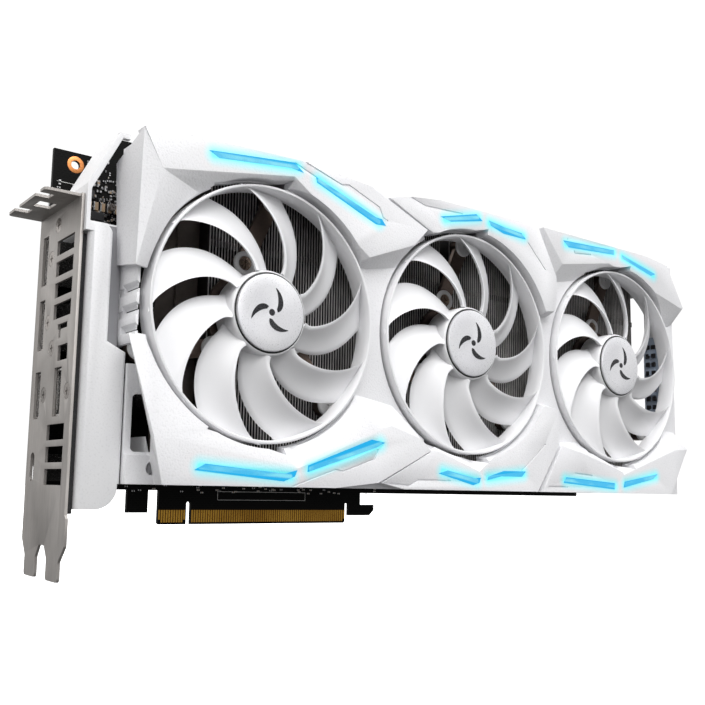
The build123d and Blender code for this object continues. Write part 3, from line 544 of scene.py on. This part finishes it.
for node, lines in grooves.items():
    # lines along which the painted glow of the bars is laid on each trim
    painted_spill = [((ax, TRIM_FACE, az), (bx, TRIM_FACE, bz)) for (ax, az), (bx, bz) in bar_lines[node]]
    panel_white = moulded(node + "_white", WHITE, WHITE_SHADE, bars=painted_spill)
    cuts = [(stroke(line, 0.55), TRIM_FACE - 1.0, TRIM_FACE + 0.55) for line in lines]
    shell(node, panel_white, bevel=0.35, cuts=cuts)
scallops = [(((-44.6, z + 1.9), (-42.0, z), (-41.6, z - 1.1), (-44.6, z - 1.6)), -52.0, -33.0)
            for z in (76.0, 69.2, 62.6)]
shell("shroud_base", shroud_white, bevel=0.35, cuts=scallops)
shell("side_frame", frame_white, bevel=0.5)
shell("io_bracket", bracket_metal, bevel=0.12)
shell("backplate", backplate_paint, bevel=0.25)


# ---- fans ---------------------------------------------------------------------------------------
BLADES = 9
BLADE_ROOT, BLADE_TIP = 14.3, 43.5
# radius, sweep, chord, thickness, pitch and forward distance of a blade, from hub to ring
STATIONS = (
    (14.2, 0.0, 9.0, 1.8, 40.0, 43.0),
    (23.0, 9.0, 13.0, 1.6, 34.0, 43.0),
    (33.0, 22.0, 16.2, 1.4, 26.0, 42.9),
    (43.3, 38.0, 17.6, 1.2, 18.0, 42.9),
)
# how far each wheel stands turned at rest, in degrees
TURNS = (15.5, 10.0, 10.0)


def station(radius):
    """Smooth values between the blade's four sections, by Lagrange's formula on the radius."""
    values = []
    for column in range(1, 6):
        total = 0.0
        for i, row in enumerate(STATIONS):
            weight = 1.0
            for j, other in enumerate(STATIONS):
                if j != i:
                    weight *= (radius - other[0]) / (row[0] - other[0])
            total += weight * row[column]
        values.append(total)
    return values


def add_blade(bm, centre, turn):
    """One cambered blade, widening into the hub and into the ring."""
    slices = 26
    around = 14
    rows = []
    for index in range(slices + 1):
        radius = BLADE_ROOT + (BLADE_TIP - BLADE_ROOT) * index / slices
        sweep, chord, thick, pitch, forward = station(radius)
        chord += 4.6 * max(0.0, (radius - 39.6) / 3.9) ** 3 + 3.0 * max(0.0, (18.2 - radius) / 4.0) ** 2
        angle = math.radians(sweep) + turn
        outward = Vector((math.cos(angle), 0, math.sin(angle)))
        tangent = Vector((-outward.z, 0, outward.x))
        ahead = Vector((0, -1, 0))
        tilt = math.radians(pitch)
        along = tangent * math.cos(tilt) + ahead * math.sin(tilt)
        across = ahead * math.cos(tilt) - tangent * math.sin(tilt)
        middle = outward * radius + ahead * forward + Vector((centre[0], 0, centre[1]))
        row = []
        for side in (1, -1):
            for step in range(around + 1):
                share = step / around if side == 1 else 1 - step / around
                if side == -1 and step in (0, around):
                    continue
                edge = math.sqrt(max(0.0, 1 - abs(2 * share - 1) ** 5))
                half = thick / 2 * (0.18 + 0.82 * edge) if 0 < step < around or side == -1 else 0.0
                camber = -0.055 * chord * math.sin(math.pi * share)
                point = middle + along * chord * (share - 0.5) + across * (camber + side * half)
                row.append(bm.verts.new(point * MM))
        rows.append(row)
    count = len(rows[0])
    for inner, outer in zip(rows, rows[1:]):
        for i in range(count):
            j = (i + 1) % count
            bm.faces.new((inner[i], inner[j], outer[j], outer[i]))
    bm.faces.new(rows[0])
    bm.faces.new(rows[-1])


def fan_centre(index):
    """Place of a fan's axis as (x, z), in millimetres."""
    low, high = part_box(f"fan_{index}_impeller")
    return (low.x + high.x) / 2 / MM, (low.z + high.z) / 2 / MM


def rotor(index):
    """Impeller, cap and the black ring of painted shade in the groove round the cap, for one fan."""
    centre = fan_centre(index)
    body = f"rotor_{index}"
    bm = bmesh.new()
    add_lathe(bm, (
        (43.15, -38.9), (44.05, -38.9), (44.25, -39.2), (44.25, -46.3), (44.1, -46.75), (43.75, -46.9),
        (43.35, -46.8), (43.1, -46.4), (42.95, -44.0)), centre, steps=160)
    add_lathe(bm, (
        (13.6, -35.0), (14.6, -35.0), (14.8, -35.3), (14.8, -44.8), (14.72, -45.7), (14.45, -46.3),
        (14.1, -46.6), (13.85, -46.5), (13.7, -45.4), (13.6, -44.0)), centre, steps=128)
    add_lathe(bm, ((0.6, -46.4), (13.65, -46.4), (13.65, -45.3), (0.6, -45.3)), centre)
    for blade in range(BLADES):
        add_blade(bm, centre, 2 * math.pi * blade / BLADES + math.radians(TURNS[index - 1]))
    link(f"fan_{index}_wheel", mesh_from("wheel", bm), body, fan_white,
         (f"fan_{index}_impeller",), sharp=40)
    bm = bmesh.new()
    add_lathe(bm, (
        (0.02, -47.9), (9.0, -47.86), (12.6, -47.72), (13.1, -47.55), (13.3, -47.2), (13.3, -46.5),
        (0.02, -46.5)), centre, steps=128, closed=False)
    link(f"fan_{index}_disc", mesh_from("disc", bm), body, cap_white,
         (f"fan_{index}_hub_cap",), sharp=35)
    bm = bmesh.new()
    # black ring filling the gap between cap and hub: painted shade in the groove
    add_lathe(bm, ((13.32, -46.7), (13.6, -46.85), (13.86, -46.7), (13.86, -46.0), (13.32, -46.0)),
              centre, steps=128)
    link(f"fan_{index}_groove", mesh_from("groove", bm), body, groove_shade_black, sharp=40)
    emblem(index, centre, body)


def emblem(index, centre, body):
    """Plain three-blade fan sign on the cap."""
    bm = bmesh.new()
    for arm in range(3):
        start = math.radians(120 * arm + 20)
        inner, outer = [], []
        for step in range(13):
            share = step / 12
            reach = 2.3 + 6.3 * share
            swing = start + 1.05 * share
            width = 0.85 * math.sin(math.pi * min(0.98, share * 0.85 + 0.12)) + 0.06
            for side, row in ((width, outer), (-width, inner)):
                row.append((centre[0] + reach * math.cos(swing + side / reach * 1.5),
                            centre[1] + reach * math.sin(swing + side / reach * 1.5)))
        add_prism(bm, outer + inner[::-1], -47.95, -47.7)
    add_lathe(bm, ((0.02, -47.96), (1.15, -47.96), (1.25, -47.7), (0.02, -47.7)), centre, steps=32,
              closed=False)
    link(f"fan_{index}_emblem", mesh_from("emblem", bm), body, emblem_grey)


for index in FANS:
    rotor(index)

# ---- fins ---------------------------------------------------------------------------------------
FIN_PITCH = 1.2
FIN_THICK = 0.22


def fins(node):
    """Thin folded sheets over the extent of the CAD stack, painted near black as shade, with strips painted
    pale as highlight along their front edges.
    """
    low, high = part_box(node)
    bm, edges = bmesh.new(), bmesh.new()
    count = int(round((high.x - low.x) / MM / FIN_PITCH))
    for sheet in range(count + 1):
        x = low.x / MM + 0.15 + sheet * FIN_PITCH
        if x > high.x / MM - 0.1:
            continue
        far = high.y / MM
        # pale strip on each sheet's front edge: painted highlight
        add_block(edges, (x - 0.04, low.y / MM - 0.02, low.z / MM),
                  (x + FIN_THICK + 0.06, low.y / MM + 0.4, high.z / MM))
        if node == "fin_stack_rear" and 141.8 < x < 188.2:
            add_block(bm, (x, low.y / MM, low.z / MM), (x + FIN_THICK, far - 9.0, high.z / MM))
            continue
        add_block(bm, (x, low.y / MM, low.z / MM), (x + FIN_THICK, far, high.z / MM))
        for z in (20.0, 45.5, 96.5, 118.0):
            add_block(bm, (x, low.y / MM + 0.02, z), (x + FIN_PITCH * 0.8, low.y / MM + 0.2, z + 2.4))
    link(node + "_sheets", mesh_from("sheets", bm), "card", shaded_fin_metal, (node,))
    link(node + "_edges", mesh_from("edges", edges), "card", fin_edge_highlight)


fins("fin_stack_front")
fins("fin_stack_rear")

# ---- edge contacts, board marks and small parts -------------------------------------------------
bm = bmesh.new()
for side, face in ((-1, BOARD_FACE), (1, BOARD_BACK)):
    for first, count in ((-0.95 - 11.1, 11), (0.95 + 0.25, 71)):
        for pad in range(count):
            x = first + pad * 1.0
            short = 1.0 if (pad == count - 1 or (count == 11 and pad == 0)) else 0.0
            add_block(bm, (x, face, 0.75 + short), (x + 0.68, face + side * 0.05, 5.2))
link("contact_pads", mesh_from("pads", bm), "card", gold_plate, ("gold_contacts",))

bm = bmesh.new()
add_lathe(bm, ((1.6, -0.81), (2.95, -0.81), (3.0, BOARD_FACE), (1.6, BOARD_FACE)), SUPPORT_HOLE, steps=48)
add_lathe(bm, ((1.6, BOARD_BACK), (3.0, BOARD_BACK), (2.95, 0.81), (1.6, 0.81)), SUPPORT_HOLE, steps=48)
link("hole_ring", mesh_from("ring", bm), "card", bare_copper, sharp=30)


def small_parts():
    """Chip resistors, capacitors and packages scattered over the open parts of the board."""
    bodies, ends, tans, chips, marks = (bmesh.new() for _ in range(5))
    for _ in range(330):
        x, z = random.uniform(-45.5, -14.0), random.uniform(104.0, 129.5)
        if random.random() < 0.35:
            x, z = random.uniform(-55.5, -14.0), random.uniform(91.0, 119.0)
        length, width = random.choice(((1.0, 0.5), (0.6, 0.3), (1.6, 0.8)))
        if random.random() < 0.5:
            length, width = width, length
        upright = length < width
        target = tans if random.random() < 0.35 else bodies
        add_block(target, (x - length / 2, BOARD_FACE, z - width / 2),
                  (x + length / 2, BOARD_FACE - 0.4, z + width / 2))
        for end in (-1, 1):
            if upright:
                ez = z + end * width * 0.4
                add_block(ends, (x - length / 2 - 0.02, BOARD_FACE, ez - width * 0.14),
                          (x + length / 2 + 0.02, BOARD_FACE - 0.43, ez + width * 0.14))
            else:
                ex = x + end * length * 0.4
                add_block(ends, (ex - length * 0.14, BOARD_FACE, z - width / 2 - 0.02),
                          (ex + length * 0.14, BOARD_FACE - 0.43, z + width / 2 + 0.02))
    for _ in range(70):
        x, z = random.uniform(-30.0, 88.0), random.uniform(11.2, 16.5)
        if abs(x) < 2.0 or z < 13.0 and x > 86.0:
            continue
        target = tans if random.random() < 0.6 else bodies
        add_block(target, (x - 0.5, BOARD_FACE, z - 0.25), (x + 0.5, BOARD_FACE - 0.4, z + 0.25))
        for end in (-1, 1):
            ex = x + end * 0.4
            add_block(ends, (ex - 0.12, BOARD_FACE, z - 0.27), (ex + 0.12, BOARD_FACE - 0.43, z + 0.27))
    for x, z, w, h in ((-50, 100, 4, 4), (-41, 108, 5, 3), (-33, 97, 3.4, 3.4), (-27, 116, 6, 5),
                       (-44, 115.5, 3, 3), (-21, 104, 4, 5)):
        add_block(chips, (x - w / 2, BOARD_FACE, z - h / 2), (x + w / 2, BOARD_FACE - 1.0, z + h / 2),
                  bevel=0.12)
    for left in range(6):
        x = -45.0 + left * 2.5
        add_block(tans, (x, BOARD_FACE, 110.0), (x + 1.6, BOARD_FACE - 1.1, 113.0), bevel=0.1)
        add_block(ends, (x - 0.1, BOARD_FACE, 110.0), (x + 0.35, BOARD_FACE - 1.13, 113.0), bevel=0.05)
    for path in (((12.0, 8.9), (52.0, 8.9), (52.0, 12.0), (12.0, 12.0), (12.0, 8.9)),
                 ((-56.0, 118.0), (-46.0, 118.0)), ((-35.0, 10.6), (-26.0, 10.6))):
        for first, last in zip(path, path[1:]):
            add_prism(marks, stroke((first, last), 0.16), BOARD_FACE - 0.012, BOARD_FACE)
    link("chip_bodies", mesh_from("chips_a", bodies), "card", chip_black)
    link("chip_ends", mesh_from("chips_b", ends), "card", solder)
    link("ceramic_parts", mesh_from("chips_c", tans), "card", ceramic_tan)
    link("small_packages", mesh_from("chips_d", chips), "card", chip_black)
    link("board_legend", mesh_from("marks", marks), "card", legend_white)


small_parts()


# how far each motor arm's screw boss and foot stand from the fan's axis
BOSS_REACH = 19.2
FOOT_REACH = 44.0


def panels():
    """Grey sheet painting the shade in the side recess, pipe cover, boss collars, driver board parts and
    socket inserts.
    """
    bm = bmesh.new()
    # thin grey sheet laid over the white wall of the side recess: painted shade
    add_block(bm, (-48.4, -31.25, 50.6), (-43.9, -31.0, 96.4), bevel=0.08)
    link("recess_shade_sheet", mesh_from("recess", bm), "card", recess_shade_grey)
    bm = bmesh.new()
    add_block(bm, (-27.5, -23.0, 23.0), (-12.1, -22.2, 119.0), bevel=0.25)
    add_block(bm, (-20.5, -24.2, 34.0), (-12.1, -23.0, 108.0), bevel=0.25)
    link("pipe_cover", mesh_from("cover", bm), "card", cover_brown)
    collars, parts, pins, black = (bmesh.new() for _ in range(4))
    for index in FANS:
        middle = fan_centre(index)
        for arm in (100.0, 220.0, 340.0):
            place = (middle[0] + BOSS_REACH * math.cos(math.radians(arm)),
                     middle[1] + BOSS_REACH * math.sin(math.radians(arm)))
            add_lathe(collars, ((2.55, -34.0), (4.3, -34.0), (4.3, -34.8), (4.0, -35.2), (2.75, -35.2),
                                (2.55, -34.9)), place, steps=40)
            foot = (middle[0] + FOOT_REACH * math.cos(math.radians(arm - 20)),
                    middle[1] + FOOT_REACH * math.sin(math.radians(arm - 20)))
            add_lathe(collars, ((0.4, -34.0), (4.1, -34.0), (4.1, -34.7), (3.8, -35.0), (0.4, -35.0)),
                      foot, steps=40)
    board_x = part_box("light_driver_board")[0].x / MM
    for row in range(9):
        z = 51.5 + row * 4.3
        for y in (-35.6, -32.4):
            add_block(parts, (board_x - 0.1, y - 0.9, z), (board_x + 1.2, y + 0.9, z + 2.2), bevel=0.1)
            for lead in range(3):
                add_block(pins, (board_x + 0.7, y - 1.25, z + 0.25 + lead * 0.65),
                          (board_x + 0.95, y + 1.25, z + 0.5 + lead * 0.65))
    for y, z, wide, tall, deep in ((-3.1, 88.2, 3.4, 15.2, 14.0), (-3.1, 66.2, 3.4, 15.2, 14.0),
                                   (-3.1, 42.7, 3.4, 13.8, 10.0), (-21.6, 42.7, 4.5, 13.8, 10.0)):
        front = -58.05
        add_block(black, (front + deep - 1.4, y - wide / 2, z - tall / 2),
                  (front + deep - 0.1, y + wide / 2, z + tall / 2))
        for pin in range(10):
            pz = z - tall / 2 + 2.6 + pin * (tall - 5.2) / 9
            add_block(pins, (front + 0.8, y - 0.62, pz - 0.18), (front + deep - 1.6, y + 0.62, pz + 0.18))
    link("boss_collars", mesh_from("collars", collars), "card", lug_grey, sharp=30)
    link("driver_devices", mesh_from("devices", parts), "card", chip_black)
    link("fine_leads", mesh_from("leads", pins), "card", solder)
    link("socket_inserts", mesh_from("inserts", black), "card", nylon_black)


panels()

# ---- studio ---------------------------------------------------------------------------------------
bm = bmesh.new()
reach = 6.0
corners = [bm.verts.new((x, y, cad_bounds[0][2] - 0.0005)) for x, y in
           ((-reach, -reach), (reach, -reach), (reach, reach), (-reach, reach))]
bm.faces.new(corners)
floor = bpy.data.objects.new("floor", mesh_from("floor", bm))
bpy.context.scene.collection.objects.link(floor)
floor_look = Recipe("floor_look")
floor_tone = floor_look.ramp(floor_look.noise(3.0, 2.0), 0.3, 0.7, 0.0, 1.0)
floor_look.join(floor_look.mix(floor_tone, (0.93, 0.93, 0.93), (0.90, 0.90, 0.90)),
                floor_look.shader.inputs["Base Color"])
floor_look.shader.inputs["Roughness"].default_value = 0.9
floor_look.shader.inputs["Emission Color"].default_value = (1.0, 1.0, 1.0, 1.0)
floor_look.shader.inputs["Emission Strength"].default_value = 0.8
floor.data.materials.append(floor_look.material)
floor.visible_diffuse = False
floor.visible_glossy = False

world = bpy.data.worlds.new("studio")
bpy.context.scene.world = world
world.use_nodes = True
tree = world.node_tree
back = tree.nodes["Background"]
back.inputs["Color"].default_value = (1.0, 1.0, 1.0, 1.0)
sky = tree.nodes.new("ShaderNodeTexCoord")
height = tree.nodes.new("ShaderNodeSeparateXYZ")
tree.links.new(sky.outputs["Generated"], height.inputs["Vector"])
dome = tree.nodes.new("ShaderNodeMapRange")
dome.inputs["From Min"].default_value = -0.45
dome.inputs["From Max"].default_value = 0.85
dome.inputs["To Min"].default_value = 0.16
dome.inputs["To Max"].default_value = 1.22
tree.links.new(height.outputs["Z"], dome.inputs["Value"])
tree.links.new(dome.outputs["Result"], back.inputs["Strength"])
seen = tree.nodes.new("ShaderNodeBackground")
seen.inputs["Color"].default_value = (1.0, 1.0, 1.0, 1.0)
seen.inputs["Strength"].default_value = 1.05
chooser = tree.nodes.new("ShaderNodeMixShader")
rays = tree.nodes.new("ShaderNodeLightPath")
tree.links.new(rays.outputs["Is Camera Ray"], chooser.inputs["Fac"])
tree.links.new(back.outputs["Background"], chooser.inputs[1])
tree.links.new(seen.outputs["Background"], chooser.inputs[2])
tree.links.new(chooser.outputs["Shader"], tree.nodes["World Output"].inputs["Surface"])


def soft_light(name, place, aim, size, power, tint=(1.0, 1.0, 1.0)):
    """Square softbox aimed at a point."""
    lamp = bpy.data.lights.new(name, "AREA")
    lamp.shape = "SQUARE"
    lamp.size = size
    lamp.energy = power
    lamp.color = tint
    holder = bpy.data.objects.new(name, lamp)
    holder.location = place
    holder.rotation_euler = (Vector(aim) - Vector(place)).to_track_quat("-Z", "Y").to_euler()
    bpy.context.scene.collection.objects.link(holder)


MIDDLE = (0.09, -0.03, 0.07)
soft_light("key", (0.0, -0.50, 0.66), MIDDLE, 0.5, 3.7)
soft_light("side", (-1.0, -0.45, 0.75), MIDDLE, 0.6, 3.2, (1.0, 0.985, 0.96))
soft_light("front", (-0.1, -1.2, 0.55), MIDDLE, 0.8, 1.3)
soft_light("bracket", (-0.42, 0.95, 0.60), (-0.06, -0.02, 0.10), 0.9, 1.0, (1.0, 0.98, 0.95))
soft_light("rear", (0.5, 1.0, 0.7), MIDDLE, 0.8, 4.0)

# ---- camera ---------------------------------------------------------------------------------------
camera_data = bpy.data.cameras.new("camera")
camera = bpy.data.objects.new("camera", camera_data)
bpy.context.scene.collection.objects.link(camera)
bearing, climb, roll = 0.6295, 0.1328, 0.0194
forward = Vector((math.sin(bearing) * math.cos(climb), math.cos(bearing) * math.cos(climb), math.sin(climb)))
level = Vector((math.cos(bearing), -math.sin(bearing), 0.0))
upward = level.cross(forward)
right = level * math.cos(roll) + upward * math.sin(roll)
above = upward * math.cos(roll) - level * math.sin(roll)
turn = Matrix((right, above, -forward)).transposed().to_4x4()
camera.matrix_world = Matrix.Translation((-0.1580, -0.3005, 0.0147)) @ turn
camera_data.sensor_width = 36.0
camera_data.lens = 46.14
camera_data.shift_x = 0.04
camera_data.shift_y = 0.0187
camera_data.clip_start = 0.01
bpy.context.scene.camera = camera
bpy.context.scene.view_settings.view_transform = "Standard"
